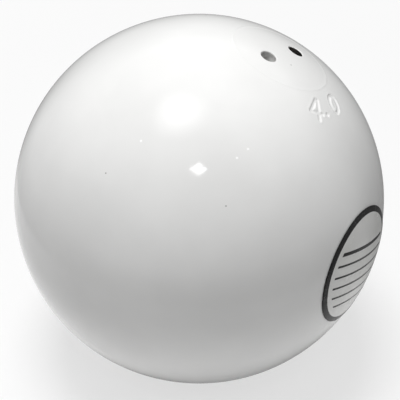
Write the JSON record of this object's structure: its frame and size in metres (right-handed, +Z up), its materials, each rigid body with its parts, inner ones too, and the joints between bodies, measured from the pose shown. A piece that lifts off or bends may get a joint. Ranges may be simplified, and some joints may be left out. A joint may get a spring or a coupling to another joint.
{
  "type": "shot put",
  "caption": "White enamelled iron ball for putting, with a screwed plug over a lead filled bore, two spanner holes and a blank round label.",
  "frame": {"origin": "centre of the ball", "axes": "+Z up as the ball lies in the picture, the plug's axis leans 25.1 degrees from +Z towards +X, and the picture looks along +Y and down"},
  "size_m": [0.102, 0.102, 0.102],
  "materials": {
    "enamel": "thick white gloss enamel over turned iron",
    "plug_enamel": "white gloss enamel on the face, bare turned steel on the thread",
    "rubber": "dull moulded rubber",
    "lead": "dull grey cast or rolled lead",
    "label": "white vinyl with a printed black border"
  },
  "bodies": {
    "ball": {"ball_body": "enamel", "lead_slug": "lead", "trim_disc_1": "lead", "trim_disc_2": "lead", "trim_disc_3": "lead", "label_disc": "label"},
    "wad": {"packing_wad": "rubber"},
    "plug": {"threaded_plug": "plug_enamel"}
  },
  "joints": [
    {"name": "plug_rise", "type": "slide", "parent": "ball", "child": "wad", "axis": [0.4242, 0, 0.9056], "range_m": [0, 0.012]},
    {"name": "plug_turn", "type": "hinge", "parent": "wad", "child": "plug", "pos_m": [0, 0, 0], "axis": [0.4242, 0, 0.9056], "range_deg": [0, 1440]}
  ],
  "couplings": [
    {"joint": "plug_rise", "follows": "plug_turn", "m_per_rad": 0.00047746}
  ]
}
